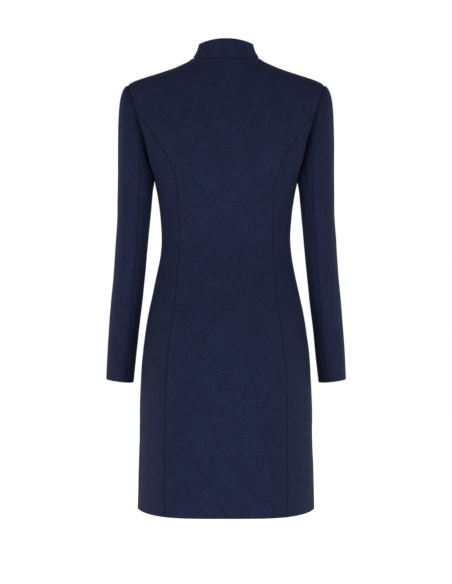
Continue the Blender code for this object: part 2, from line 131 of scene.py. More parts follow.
# %% Depths and roundness of its sections
DEPTH_COLUMNS = ("height", "back", "back_flat", "back_fall", "front", "front_flat", "front_fall")
DEPTHS = (
    (-0.9275, 0.1330, 3.80, 0.72, 0.1310, 3.20, 0.68),
    (-0.787, 0.1295, 3.00, 0.63, 0.1270, 2.80, 0.62),
    (-0.642, 0.1280, 2.60, 0.54, 0.1230, 2.50, 0.54),
    (-0.560, 0.1220, 2.40, 0.48, 0.1190, 2.35, 0.49),
    (-0.477, 0.1060, 2.30, 0.44, 0.1090, 2.25, 0.45),
    (-0.405, 0.0915, 2.25, 0.44, 0.0985, 2.20, 0.45),
    (-0.374, 0.0900, 2.20, 0.45, 0.0970, 2.20, 0.45),
    (-0.333, 0.0950, 2.25, 0.44, 0.1040, 2.25, 0.44),
    (-0.292, 0.1010, 2.30, 0.43, 0.1135, 2.30, 0.43),
    (-0.255, 0.1050, 2.40, 0.42, 0.1180, 2.35, 0.43),
    (-0.214, 0.1065, 2.45, 0.41, 0.1155, 2.30, 0.43),
    (-0.150, 0.1020, 2.40, 0.42, 0.1020, 2.20, 0.45),
    (-0.101, 0.0915, 2.10, 0.48, 0.0830, 2.00, 0.50),
    (-0.056, 0.0770, 1.75, 0.57, 0.0625, 1.75, 0.57),
    (-0.030, 0.0680, 1.70, 0.59, 0.0550, 1.70, 0.59),
    (-0.014, 0.0615, 1.75, 0.57, 0.0520, 1.75, 0.57),
    (0.004, 0.0540, 1.90, 0.53, 0.0490, 1.90, 0.53),
)
BUST = SimpleNamespace(out=0.011, side=0.086, height=-0.250, spread=0.060, rise=0.075)
SHOULDER_BLADE = SimpleNamespace(out=0.004, side=0.085, height=-0.165, spread=0.050, rise=0.070)
print("sections:", len(OUTLINE), "widths,", len(DEPTHS), "depths")


# %% A smooth curve through a column of sizes
def smooth_curve(stations, values):
    """A curve through the values, which never overshoots them between two stations."""
    gaps = [after - before for before, after in zip(stations, stations[1:])]
    rises = [(b - a) / gap for a, b, gap in zip(values, values[1:], gaps)]
    slopes = [rises[0]]
    for before, after in zip(rises, rises[1:]):
        same_way = before * after > 0
        slopes.append(2 * before * after / (before + after) if same_way else 0.0)
    slopes.append(rises[-1])

    def curve(station):
        if station <= stations[0]:
            return values[0] + slopes[0] * (station - stations[0])
        if station >= stations[-1]:
            return values[-1] + slopes[-1] * (station - stations[-1])
        i = bisect_right(stations, station) - 1
        t = (station - stations[i]) / gaps[i]
        start = values[i] * (1 + 2 * t) * (1 - t) ** 2 + slopes[i] * gaps[i] * t * (1 - t) ** 2
        end = values[i + 1] * t * t * (3 - 2 * t) + slopes[i + 1] * gaps[i] * t * t * (t - 1)
        return start + end

    return curve


def read_table(columns, rows):
    """The columns of a table as curves of its first column."""
    rows = sorted(rows)
    stations = [row[0] for row in rows]
    curves = {
        name: smooth_curve(stations, [row[i] for row in rows])
        for i, name in enumerate(columns)
        if i > 0
    }
    return SimpleNamespace(**curves)


def spread(first, last, steps):
    """Evenly spaced numbers from first to last, both included."""
    return [first + (last - first) * i / steps for i in range(steps + 1)]


def mix(a, b, share):
    return a + (b - a) * share


def lengths_along(points):
    """The length that a path has reached at each of its points."""
    return [0.0, *accumulate((after - before).length for before, after in zip(points, points[1:]))]


outline = read_table(OUTLINE_COLUMNS, OUTLINE)
depths = read_table(DEPTH_COLUMNS, DEPTHS)
print("waist half width:", round(outline.half_width(-0.374), 4), "m")


# %% A point of the body
def section_at(height, behind):
    """Half width, depth, flat and fall of the body's section at a height, behind or in front."""
    half_width = outline.half_width(height)
    if behind:
        return half_width, depths.back(height), depths.back_flat(height), depths.back_fall(height)
    return half_width, depths.front(height), depths.front_flat(height), depths.front_fall(height)


def soft_round(shape, x, height):
    """How far a pair of soft rounds pushes the cloth out at a place."""
    along = ((height - shape.height) / shape.rise) ** 2
    across = [((x - side) / shape.spread) ** 2 for side in (shape.side, -shape.side)]
    return shape.out * sum(math.exp(-along - distance) for distance in across)


def body_point(turn, height):
    """The body at a turn in degrees, from 0 in front past 90 at the side to 180 behind."""
    sine, cosine = math.sin(math.radians(turn)), math.cos(math.radians(turn))
    behind = cosine < 0
    half_width, depth, flat, fall = section_at(height, behind)
    x = math.copysign(half_width * abs(sine) ** (2 / flat), sine)
    y = depth * abs(cosine) ** (2 * fall)
    y += abs(cosine) * soft_round(SHOULDER_BLADE if behind else BUST, x, height)
    return Vector((x, y if behind else -y, height))


def outward(point_at, first, second, step_first, step_second):
    """The direction that faces out of a form, from four points close round a place of it."""
    round_it = point_at(first + step_first, second) - point_at(first - step_first, second)
    up_it = point_at(first, second + step_second) - point_at(first, second - step_second)
    return round_it.cross(up_it).normalized()


def body_normal(turn, height):
    return outward(body_point, turn, height, 0.25, 0.0004)


def turn_at_side_distance(distance, height, behind):
    """The turn at which the form is this far from the centre line."""
    half_width, _, flat, _ = section_at(height, behind)
    turn = math.degrees(math.asin(min(distance / half_width, 1.0) ** (flat / 2)))
    return 180 - turn if behind else turn


def on_side(point, side):
    """A point of the left side as it is, or for side -1 its mirror image on the right."""
    return Vector((point.x * side, point.y, point.z))


hem_depth = (body_point(180.0, HEM_HEIGHT) - body_point(0.0, HEM_HEIGHT)).y
print("the hem is", round(hem_depth, 3), "m deep")


# %% [markdown]
# ## The seam lines on the form
#
# Seams are where the flat pieces meet: the neckline, the armholes, and a long shaped seam on each side
# of the back and the front that runs from the armhole down to the hem. Each is a line on the form, so
# both of its pieces can end on it exactly.


# %% The neckline
HALVINGS = 40  # steps of the search, enough for the last digit


def solve_neck_height(turn):
    """Where the neckline, an oval seen from behind or in front, crosses the form at a turn."""
    drop = BACK_NECK_DROP if turn > 90 else FRONT_NECK_DROP
    low, high = -drop, 0.0
    for _ in range(HALVINGS):
        height = (low + high) / 2
        neck_x = NECK_HALF_WIDTH * math.sqrt(1 - (height / drop) ** 2)
        if body_point(turn, height).x > neck_x:
            low = height
        else:
            high = height
    return (low + high) / 2


NECK_TURNS = spread(0.0, 180.0, 60)
neck_curve = smooth_curve(NECK_TURNS, [solve_neck_height(turn) for turn in NECK_TURNS])


def neck_height(turn):
    """The height of the neckline at a turn, to either side."""
    return neck_curve(min(abs(turn), 180.0))


print("the neckline drops", round(-1000 * neck_height(0.0)), "mm in front")

# %% The armhole
ARMHOLE = SimpleNamespace(top=-0.0555, bottom=-0.255, back_reach=0.052, front_reach=0.054)
BACK_SEAM_MEETS = 68.5  # angles round the armhole at which the shaped seams meet it
FRONT_SEAM_MEETS = -72.0


def armhole_place(angle):
    """The turn and height of the armhole at an angle: 0 at the shoulder, 90 behind, 180 below."""
    middle = (ARMHOLE.top + ARMHOLE.bottom) / 2
    height = middle + (ARMHOLE.top - ARMHOLE.bottom) / 2 * math.cos(math.radians(angle))
    sine = math.sin(math.radians(angle))
    behind = sine > 0
    reach = abs(sine) * (ARMHOLE.back_reach if behind else ARMHOLE.front_reach)
    _, depth, _, fall = section_at(height, behind)
    lean = math.degrees(math.acos(min(reach / depth, 1.0) ** (0.5 / fall)))
    return (180 - lean if behind else lean), height


armhole_round = [body_point(*armhole_place(angle)) for angle in range(-180, 181, 5)]
print("the armhole is", round(lengths_along(armhole_round)[-1], 3), "m round")

# %% The shaped seams
SEAM_COLUMNS = ("height", "from_centre")
BACK_SHAPED_SEAM = (
    (-0.9275, 0.1215),
    (-0.800, 0.1222),
    (-0.704, 0.1215),
    (-0.623, 0.1182),
    (-0.537, 0.1085),
    (-0.497, 0.1025),
    (-0.450, 0.0985),
    (-0.400, 0.0955),
    (-0.350, 0.0950),
    (-0.300, 0.0965),
    (-0.258, 0.1010),
    (-0.217, 0.1135),
    (-0.197, 0.1255),
    (-0.169, 0.1430),
    (-0.144, 0.1590),
)
FRONT_SHAPED_SEAM = (
    (-0.9275, 0.1180),
    (-0.704, 0.1100),
    (-0.560, 0.1000),
    (-0.450, 0.0860),
    (-0.374, 0.0800),
    (-0.300, 0.0850),
    (-0.255, 0.0920),
    (-0.215, 0.1040),
    (-0.180, 0.1230),
    (-0.150, 0.1450),
)


def shaped_seam(behind):
    """The turn of the shaped seam as a function of height, ending on the armhole."""
    rows = BACK_SHAPED_SEAM if behind else FRONT_SHAPED_SEAM
    turn, height = armhole_place(BACK_SEAM_MEETS if behind else FRONT_SEAM_MEETS)
    end = (height, abs(body_point(turn, height).x))
    from_centre = read_table(SEAM_COLUMNS, rows + (end,)).from_centre
    return lambda at: turn_at_side_distance(from_centre(at), at, behind)


back_seam_turn = shaped_seam(True)
front_seam_turn = shaped_seam(False)
print("the back seam meets the armhole at height", round(armhole_place(BACK_SEAM_MEETS)[1], 4))

# %% [markdown]
# ## From a form to a grid of cloth
#
# A piece of cloth is a grid of points on the form. Wide cells are enough in its middle, but its edges
# need fine ones, because that is where cloth rolls over into a seam. So every stretch of a grid is
# spaced by one helper, which crowds points towards both ends.

# %% Points that crowd towards the edges
EDGE_STEPS = (0.0, 0.0006, 0.0014, 0.0025, 0.0042, 0.0070)
EDGE_ROWS = len(EDGE_STEPS)
CELL = 0.0062
NARROW_CELL = 0.0055  # across the narrow pieces
JUST_HALF = 0.4999


def crowded_shares(length, cell=CELL, last=True):
    """Shares of a stretch from 0 to 1, evenly spaced but close together at its ends."""
    inset = EDGE_STEPS[-1]
    end = length - inset if last else length
    middle = spread(inset, end, max(2, round((end - inset) / cell)))
    ends = [length - step for step in reversed(EDGE_STEPS[:-1])] if last else []
    return [at / length for at in (*EDGE_STEPS[:-1], *middle, *ends)]


def half_shares(length, cell=CELL):
    """Shares of the half of a stretch, from its edge to the middle, crowded at the edge alone."""
    return [share * 2 for share in crowded_shares(length, cell) if share < JUST_HALF] + [1.0]


def places_by_length(path, shares, fine=72):
    """Shares of the path's own variable that lie at these shares of its length."""
    along = spread(0.0, 1.0, fine)
    lengths = lengths_along([path(share) for share in along])
    return np.interp(np.array(shares) * lengths[-1], lengths, along).tolist()


print("cells of", 1000 * CELL, "mm, down to", 1000 * EDGE_STEPS[1], "mm at a seam")

# %% [markdown]
# ## The grain of the cloth
#
# Woven cloth has a grain: its threads run up each piece and across it. So each place also needs its
# distance across from the middle of its piece and its distance up from the hem. These are lengths
# measured along the form and kept in a table. A place between the table's lines is mixed from the four
# around it.


# %% Lengths across and up a form
def measure_grain(point_at, firsts, seconds):
    """A function that gives the lengths across and up to a place of the form from a middle line."""
    points = np.array([[tuple(point_at(a, b)) for b in seconds] for a in firsts])
    lengths = []
    for axis in (0, 1):
        steps = np.linalg.norm(np.diff(points, axis=axis), axis=2)
        lengths.append(np.insert(np.cumsum(steps, axis=axis), 0, 0.0, axis=axis))
    lengths = np.stack(lengths, axis=2)

    def walked(first, second):
        i = (first - firsts[0]) / (firsts[1] - firsts[0])
        j = (second - seconds[0]) / (seconds[1] - seconds[0])
        row = min(max(int(i), 0), len(firsts) - 2)
        column = min(max(int(j), 0), len(seconds) - 2)
        start = lengths[row, column : column + 2]
        end = lengths[row + 1, column : column + 2]
        at, above = (start[k] + (end[k] - start[k]) * (i - row) for k in (0, 1))
        return at + (above - at) * (j - column)

    def grain(first, second, middle):
        across, up = walked(first, second)
        return across - walked(middle, second)[0], up

    return grain


body_grain = measure_grain(body_point, spread(-30.0, 180.0, 84), spread(HEM_HEIGHT, 0.0, 90))
print("half way round the waist:", round(body_grain(180.0, -0.374, 0.0)[0], 3), "m")

# %% [markdown]
# ## Hems
#
# A hem, a cuff and the top of a collar are folds: the cloth goes down the outside, turns round a small
# radius and runs back up inside. The rows of a grid can follow that path. Each row of the fold then has
# a rise above the edge and a depth behind the outer face.

# %% The rows of a fold
HEM = SimpleNamespace(radius=0.0021, turn_up=0.034)
CUFF = SimpleNamespace(radius=0.0020, turn_up=0.028)


def fold_rows(fold, bend_steps=6, inner_steps=5):
    """Rise and depth of each row, from the raw edge inside down and round to the outer face."""
    rows = [(rise, 2 * fold.radius) for rise in spread(fold.turn_up, fold.radius, inner_steps)]
    for i in range(1, bend_steps + 1):
        angle = math.pi * (1 - i / bend_steps)
        rise = fold.radius * (1 - math.sin(angle))
        rows.append((rise, fold.radius * (1 - math.cos(angle))))
    return rows


print("a hem's fold has", len(fold_rows(HEM)), "rows")

# %% [markdown]
# ## The centre back and the fronts
#
# The side edge of a centre panel climbs along the shaped seam, the armhole and the shoulder seam. Its
# rows cross the body from there to the middle, and those near the top lean so that the last one is the
# neckline. The fronts lap over each other at the middle, so one is lifted off the form a little and the
# other pushed in.

# %% The side edge of a centre panel
LAP = SimpleNamespace(half=0.020, fades=0.030, lift=0.00115)
LEAST_RISE = 0.35  # a row rises in the middle by at least this share of its step along the edge
BACK_WIDTH, FRONT_WIDTH, SHOULDER_LENGTH = 0.36, 0.20, 0.146  # about, to space the grid's points
ARMHOLE_ROWS = 15


def centre_edge_rows(behind):
    """The edge's turn and height and the depth behind the outer face, for each row from the hem up."""
    seam = back_seam_turn if behind else front_seam_turn
    meets = BACK_SEAM_MEETS if behind else FRONT_SEAM_MEETS
    junction = armhole_place(meets)[1]
    start = HEM_HEIGHT + HEM.radius
    rows = []
    for rise, depth in fold_rows(HEM):
        rows.append((seam(HEM_HEIGHT + rise), HEM_HEIGHT + rise, depth))
    for share in crowded_shares(junction - start, last=False)[EDGE_ROWS:-1]:
        height = mix(start, junction, share)
        rows.append((seam(height), height, 0.0))
    for share in spread(0.0, 1.0, ARMHOLE_ROWS)[:-1]:
        rows.append((*armhole_place(mix(meets, 0.0, share)), 0.0))
    for share in crowded_shares(SHOULDER_LENGTH):
        rows.append((90.0, mix(ARMHOLE.top, 0.0, share), 0.0))
    return rows


def row_climbs(rows):
    """How far up each row starts and ends, from 0 at the last level row to 1 at the neckline."""
    at_edge = [(height - LEVEL_TOP) / (neck_height(turn) - LEVEL_TOP) for turn, height, _ in rows]
    at_middle = list(at_edge)
    for i in range(1, len(rows)):
        if at_edge[i] > 0:
            step = (body_point(*rows[i][:2]) - body_point(*rows[i - 1][:2])).length
            least = LEAST_RISE * step / -LEVEL_TOP
            at_middle[i] = at_middle[i - 1] + max(at_edge[i] - at_edge[i - 1], least)
    top = at_middle[-1]
    return [(a, m / top if m > 0 else m) for a, m in zip(at_edge, at_middle)]


print("rows of a centre panel:", len(centre_edge_rows(True)))


# %% Their grids
def body_place(turn, height, depth, middle):
    """A point of the body behind its outer face, its outward direction and its place in the cloth."""
    normal = body_normal(turn, height)
    return body_point(turn, height) - normal * depth, normal, body_grain(turn, height, middle)


def both_halves(places):
    """A row from the left edge to the middle, carried on with its mirror image."""
    mirrored = [(on_side(p, -1), on_side(n, -1), (-across, up)) for p, n, (across, up) in places]
    return places + mirrored[-2::-1]


def climbed(climb, level, turn):
    """The height of a row at a turn: level low down, and like the neckline at the top."""
    if climb <= 0:
        return level
    return LEVEL_TOP + climb * (neck_height(turn) - LEVEL_TOP)


def panel_row(row, climb, middle_turn, shares):
    """A row of places from the side edge to the middle, spaced by its length."""
    edge_turn, level, depth = row

    def at(share):
        turn = mix(edge_turn, middle_turn, share)
        return turn, climbed(mix(*climb, share), level, turn)

    shares = places_by_length(lambda share: body_point(*at(share)), shares)
    return [body_place(*at(share), depth, 180.0 if middle_turn > 90 else 0.0) for share in shares]


def centre_back_grid():
    """The whole centre back, from the wearer's left shaped seam to the right one."""
    rows, shares = centre_edge_rows(True), half_shares(BACK_WIDTH)
    climbs = row_climbs(rows)
    return [both_halves(panel_row(*row, 180.0, shares)) for row in zip(rows, climbs)]


def lap_turn(climb, level):
    """The turn at which a row of the front reaches the edge of the lap."""
    turn = 0.0
    for _ in range(6):  # each round corrects the height for the turn, and settles fast
        turn = turn_at_side_distance(LAP.half, climbed(climb, level, turn), False)
    return turn


def front_grid(lift):
    """The left front, from its shaped seam to its edge past the centre line."""
    shares = crowded_shares(FRONT_WIDTH)
    rows = centre_edge_rows(False)
    grid = []
    for row, climb in zip(rows, row_climbs(rows)):
        places = []
        for point, normal, grain in panel_row(row, climb, -lap_turn(climb[1], row[1]), shares):
            fade = 1 - min(max((point.x - LAP.half) / LAP.fades, 0.0), 1.0)
            places.append((point + normal * lift * fade * fade * (3 - 2 * fade), normal, grain))
        grid.append(places)
    return grid


# %% [markdown]
# ## The side panels
#
# A side panel runs from the shaped seam round to the side seam. Its level rows rise by and by towards
# the armhole, which is its top edge.


# %% Their grids
SIDE_WIDTH, SIDE_CLIMB = 0.095, 0.21  # about, to space the grid's points
FIRST_CLIMB = 0.034  # the share of the climb at which the first leaning row lies, or above


@lru_cache(maxsize=None)
def side_row_lengths(behind, height):
    """Turns along a level row of a side panel, with the length reached at each."""
    seam = back_seam_turn if behind else front_seam_turn
    turns = spread(seam(height), 90.0, 40)
    return turns, lengths_along([body_point(turn, height) for turn in turns])


def side_row_turn(behind, height, share):
    """The turn at a share of the length of a level row."""
    turns, lengths = side_row_lengths(behind, round(height, 5))
    return float(np.interp(share * lengths[-1], lengths, turns))


def side_panel_grid(behind):
    """The left side panel, from its shaped seam round to the side seam, up to the armhole."""
    shares = crowded_shares(SIDE_WIDTH, NARROW_CELL)
    meets = BACK_SEAM_MEETS if behind else FRONT_SEAM_MEETS
    below = 180.0 if behind else -180.0
    tops = [armhole_place(mix(meets, below, share)) for share in shares]
    start = HEM_HEIGHT + HEM.radius
    levels = round((LEVEL_TOP - start) / CELL)
    rising = [share for share in crowded_shares(SIDE_CLIMB) if share > FIRST_CLIMB]
    rows = [(HEM_HEIGHT + rise, depth, 0.0) for rise, depth in fold_rows(HEM)]
    rows += [(height, 0.0, 0.0) for height in spread(start, LEVEL_TOP, levels)[1:]]
    rows += [(LEVEL_TOP, 0.0, rise) for rise in rising]
    grid = []
    for level, depth, rise in rows:
        row = []
        for share, (top_turn, top_height) in zip(shares, tops):
            height = mix(level, top_height, rise)
            turn = side_row_turn(behind, height, share)
            turn += (top_turn - side_row_turn(behind, top_height, share)) * rise**2
            row.append(body_place(turn, height, depth, 180.0 if behind else 0.0))
        grid.append(row[::-1] if behind else row)
    return grid


# %% [markdown]
# ## The sleeves
#
# A tailored sleeve has two pieces. The wide upper one goes over the outside of the arm and the narrow
# under one lies beside the body. Its cap is cut higher than the armhole and eased in, so it leaves the
# shoulder in a soft round before it turns down. Four control points from the armhole to the arm, joined
# by a cubic curve, give that round, and below the armhole each section is an ellipse.

# %% Sizes of the sleeve
SLEEVE_COLUMNS = ("height", "outer", "inner", "middle", "half_depth")
SLEEVE = (
    (-0.275, 0.2226, 0.1502, 0.002, 0.0600),
    (-0.312, 0.2228, 0.1537, 0.003, 0.0580),
    (-0.374, 0.2263, 0.1596, 0.003, 0.0560),
    (-0.436, 0.2306, 0.1655, 0.000, 0.0545),
    (-0.498, 0.2368, 0.1721, -0.006, 0.0525),
    (-0.559, 0.2417, 0.1798, -0.013, 0.0505),
    (-0.621, 0.2466, 0.1870, -0.021, 0.0485),
    (-0.665, 0.2492, 0.1920, -0.027, 0.0470),
)
CAP_BOTTOM = -0.275
CUFF_HEIGHT = -0.6655
CUFF_TILT = 0.125  # rise of the cuff edge per metre towards the outside
SLEEVE_BACK_SEAM = (97.0, 111.0, 128.0)  # angles at the armhole, under the arm and at the cuff
SLEEVE_FRONT_SEAM = (-125.0, -125.0, -128.0)
CAP_AT_SHOULDER = SimpleNamespace(out=0.88, down=0.34, keeps=0.026, in_line=0.145)
CAP_UNDER_ARM = SimpleNamespace(out=0.15, down=0.95, keeps=0.004, in_line=0.005)
CAP_TO_SIDES = 0.42
CAP_FADE = 1.3
sleeve_sizes = read_table(SLEEVE_COLUMNS, SLEEVE)
print("the sleeve is", round(CAP_BOTTOM - CUFF_HEIGHT, 3), "m long below the armhole")


# %% A point of the sleeve
def arm_point(angle, height):
    """A point of the sleeve below the armhole, at an angle round the arm."""
    outer, inner = sleeve_sizes.outer(height), sleeve_sizes.inner(height)
    sine, cosine = math.sin(math.radians(angle)), math.cos(math.radians(angle))
    x = (outer + inner) / 2 + (outer - inner) / 2 * cosine
    y = sleeve_sizes.middle(height) + sleeve_sizes.half_depth(height) * sine
    drop = max(0.0, (CAP_BOTTOM - height) / (CAP_BOTTOM - CUFF_HEIGHT))
    return Vector((x, y, height + CUFF_TILT * drop * (x - (outer + inner) / 2)))


@lru_cache(maxsize=None)
def cap_controls(angle):
    """The four points that lead the cap from the armhole to the arm at an angle."""
    top, below, step = CAP_AT_SHOULDER, CAP_UNDER_ARM, 0.002
    low = (1 - math.cos(math.radians(angle))) / 2
    start = body_point(*armhole_place(angle))
    out, down = mix(top.out, below.out, low**2), mix(top.down, below.down, low**2)
    away = Vector((out, CAP_TO_SIDES * math.sin(math.radians(angle)), -down)).normalized()
    first = start + away * mix(top.keeps, below.keeps, low**2)
    end = arm_point(angle, CAP_BOTTOM)
    slope = (end - arm_point(angle, CAP_BOTTOM - step)) / step
    second = end + slope * (top.in_line * (1 - low) ** CAP_FADE + below.in_line * low)
    return start, first, second, end


def sleeve_point(angle, along):
    """A point of the sleeve: along runs from 0 at the armhole to 1 under the arm to 2 at the cuff."""
    if along >= 1:
        return arm_point(angle, mix(CAP_BOTTOM, CUFF_HEIGHT, along - 1))
    start, first, second, end = cap_controls(angle)
    rest = 1 - along
    lead = start * rest**3 + first * (3 * rest**2 * along)
    return lead + second * (3 * rest * along**2) + end * along**3


def sleeve_place(angle, along, depth=0.0, middle=0.0):
    """A point of the sleeve, its outward direction and its place in the cloth."""

    def point_at(angle, climb):
        return sleeve_point(angle, max(-climb, 0.0))

    normal = outward(point_at, angle, -along, 0.25, 0.002)
    return sleeve_point(angle, along) - normal * depth, normal, sleeve_grain(angle, along, middle)


# %% The grain of the sleeve
arm_grain = measure_grain(sleeve_point, spread(-130.0, 240.0, 74), spread(2.0, 0.0, 80))


def sleeve_grain(angle, along, middle):
    """The place in the cloth: up the cap the threads keep on straight, as they lie under the arm."""
    if along >= 1:
        return arm_grain(angle, along, middle)
    point = sleeve_point(angle, along)
    outer, inner = sleeve_sizes.outer(CAP_BOTTOM), sleeve_sizes.inner(CAP_BOTTOM)
    x = (point.x - (outer + inner) / 2) / (outer - inner) * 2
    y = (point.y - sleeve_sizes.middle(CAP_BOTTOM)) / sleeve_sizes.half_depth(CAP_BOTTOM)
    turned = math.degrees(math.atan2(y, x))
    across, up = arm_grain(turned + 360 * round((angle - turned) / 360), 1.0, middle)
    return across, up + point.z - arm_point(angle, CAP_BOTTOM).z


print("the cap is", round(ARMHOLE.top - CAP_BOTTOM, 3), "m high")


# %% The sleeve's grids
UPPER = SimpleNamespace(width=0.20, cap=0.17)  # about, to space the grid's points
UNDER = SimpleNamespace(width=0.10, cap=0.06)
LAST_CAP_SHARE = 0.93  # the next row is the one under the arm
SEAM_DRIFT = 4  # a higher power makes the seam drift sooner


def seam_angle(angles, along):
    """The angle of a sleeve seam, which drifts fast at the armhole and slowly down to the cuff."""
    at_armhole, under_arm, at_cuff = angles
    if along < 1:
        return mix(under_arm, at_armhole, (1 - along) ** SEAM_DRIFT)
    return mix(under_arm, at_cuff, along - 1)


def sleeve_grid(upper):
    """The left upper sleeve, over the outside of the arm, or the left under sleeve."""
    sizes, middle = (UPPER, 0.0) if upper else (UNDER, 180.0)
    seams = (SLEEVE_FRONT_SEAM, SLEEVE_BACK_SEAM)
    if not upper:
        seams = (SLEEVE_BACK_SEAM, tuple(angle + 360.0 for angle in SLEEVE_FRONT_SEAM))
    length = CAP_BOTTOM - CUFF_HEIGHT
    down_arm = round((length - CUFF.radius) / CELL)
    rows = [(2 - rise / length, depth) for rise, depth in fold_rows(CUFF)]
    rows += [(along, 0.0) for along in spread(2 - CUFF.radius / length, 1.0, down_arm)[1:]]
    cap = [share for share in crowded_shares(sizes.cap) if share < LAST_CAP_SHARE]
    rows += [(share, 0.0) for share in reversed(cap)]
    grid = []
    for along, depth in rows:
        start, end = (seam_angle(seam, along) for seam in seams)
        shares = crowded_shares(sizes.width, NARROW_CELL)
        angles = [round(mix(start, end, share), 6) for share in shares]
        grid.append([sleeve_place(angle, along, depth, middle) for angle in angles])
    return grid


# %% [markdown]
# ## The stand collar
#
# The collar is a band that stands on the neckline. Its cloth goes up outside, folds over the top edge
# and comes back down inside, which gives it twice the thickness of the body and a soft round edge.

# %% The collar's grid
COLLAR = SimpleNamespace(half_width=0.0560, back=0.0560, front=0.0540, square=2.1, hollow=0.0018)
COLLAR_RISE = SimpleNamespace(back=0.0385, side=0.0295, front=0.0340)
COLLAR_FOLD = SimpleNamespace(radius=0.0017, turn_up=0.029)
COLLAR_LENGTH, COLLAR_CELL_ROUND, COLLAR_CELL_UP = 0.37, 0.0045, 0.004


def collar_point(turn, share):
    """A point of the collar, from the neckline at share 0 to its top edge at share 1."""
    base = body_point(turn, neck_height(turn))
    round_neck = math.atan2(base.x, -base.y)
    sine, cosine = math.sin(round_neck), math.cos(round_neck)
    behind = cosine < 0
    power = 2 / COLLAR.square
    rise = mix(COLLAR_RISE.side, COLLAR_RISE.back if behind else COLLAR_RISE.front, cosine**2)
    reach = COLLAR.back if behind else -COLLAR.front
    x = math.copysign(COLLAR.half_width * abs(sine) ** power, sine)
    top = Vector((x, reach * abs(cosine) ** power, base.z + rise))
    hollow = Vector((sine, -cosine, 0.0)) * COLLAR.hollow * 4 * share * (1 - share)
    return base.lerp(top, share) - hollow


def collar_place(turn, share, depth):
    """A point of the collar, its outward direction and its place in the cloth."""
    normal = outward(collar_point, turn, share, 0.5, 0.01)
    return collar_point(turn, share) - normal * depth, normal, collar_grain(turn, share, 180.0)


collar_grain = measure_grain(collar_point, spread(0.0, 180.0, 90), spread(0.0, 1.0, 10))


def collar_grid():
    """The whole collar, from its left end at the centre front round the back to its right end."""
    height = COLLAR_RISE.front
    shares = half_shares(COLLAR_LENGTH, COLLAR_CELL_ROUND)
    turns = places_by_length(lambda share: collar_point(share * 180, 0.0), shares, 180)
    rows = [(share, 0.0) for share in crowded_shares(height, COLLAR_CELL_UP)[:-EDGE_ROWS]]
    rows += [(1 - rise / height, depth) for rise, depth in reversed(fold_rows(COLLAR_FOLD))]
    return [
        both_halves([collar_place(turn * 180, share, depth) for turn in turns]) for share, depth in rows
    ]


# %% [markdown]
# ## Seams, creases and the unevenness of cloth
#
# At a seam the two pieces roll inwards and meet in a narrow groove. The cloth of this coat is firm and
# well pressed, so it has few creases, all of them shallow: across the side of the waist, behind the
# elbow, from the armpit, and long soft ones down the skirt. Each crease is a trough or a ridge with its
# own ends, width and depth, listed in a table. All are worked out from a point's place on the form, so
# that they run on across a seam from one piece to the next.


# %% Distance from a line
def distance_to_line(points, line):
    """How far each point is from a line of points, and the share of the line it is nearest to."""
    best = np.full(len(points), np.inf)
    nearest = np.zeros(len(points))
    line = np.array([tuple(point) for point in line])
    steps = len(line) - 1
    for i in range(steps):
        along = line[i + 1] - line[i]
        share = np.clip((points - line[i]) @ along / max(along @ along, 1e-12), 0, 1)
        gap = np.linalg.norm(points - line[i] - share[:, None] * along, axis=1)
        closer = gap < best
        best[closer] = gap[closer]
        nearest[closer] = (i + share[closer]) / steps
    return best, nearest


# %% Creases on the body
BODY_CREASE_COLUMNS = "from_turn from_height to_turn to_height bow width out".split()
BODY_CREASES = (
    # across the hollow of the back, at the side of the waist
    (97, -0.352, 131, -0.364, -0.010, 0.0100, -0.0011),
    (99, -0.384, 126, -0.379, 0.008, 0.0085, -0.0008),
    (-98, -0.362, -128, -0.371, -0.008, 0.0095, -0.0010),
    (-97, -0.397, -121, -0.390, 0.007, 0.0080, -0.0006),
    (132, -0.398, 158, -0.406, 0.006, 0.0110, -0.0006),
    (-136, -0.391, -163, -0.401, 0.007, 0.0120, -0.0005),
    # down from the armpit
    (108, -0.262, 117, -0.318, 0.004, 0.0080, -0.0008),
    (-109, -0.259, -116, -0.306, 0.004, 0.0075, -0.0007),
    # the easing over the shoulder blades
    (126, -0.122, 137, -0.205, 0.006, 0.0140, -0.0007),
    (-125, -0.118, -138, -0.198, 0.006, 0.0150, -0.0006),
    # long soft folds of the skirt behind
    (118, -0.540, 121, -0.900, 0.010, 0.0190, 0.0011),
    (-119, -0.560, -120, -0.905, 0.008, 0.0180, 0.0010),
    (149, -0.640, 152, -0.915, 0.006, 0.0240, -0.0008),
    (-151, -0.620, -147, -0.915, 0.009, 0.0260, -0.0009),
    (172, -0.700, 176, -0.920, 0.004, 0.0280, 0.0007),
    # the same on the front, which the photo doesn't show
    (82, -0.356, 47, -0.366, -0.009, 0.0100, -0.0010),
    (84, -0.388, 55, -0.381, 0.007, 0.0090, -0.0007),
    (-83, -0.349, -49, -0.360, -0.008, 0.0095, -0.0011),
    (-81, -0.382, -58, -0.377, 0.006, 0.0085, -0.0006),
    (70, -0.262, 52, -0.312, 0.005, 0.0090, -0.0009),
    (-71, -0.265, -54, -0.308, 0.005, 0.0085, -0.0008),
    (60, -0.560, 57, -0.900, 0.009, 0.0190, 0.0010),
    (-62, -0.540, -58, -0.905, 0.010, 0.0200, 0.0011),
    (29, -0.650, 27, -0.915, 0.006, 0.0240, -0.0008),
    (-31, -0.630, -34, -0.915, 0.007, 0.0230, -0.0007),
)

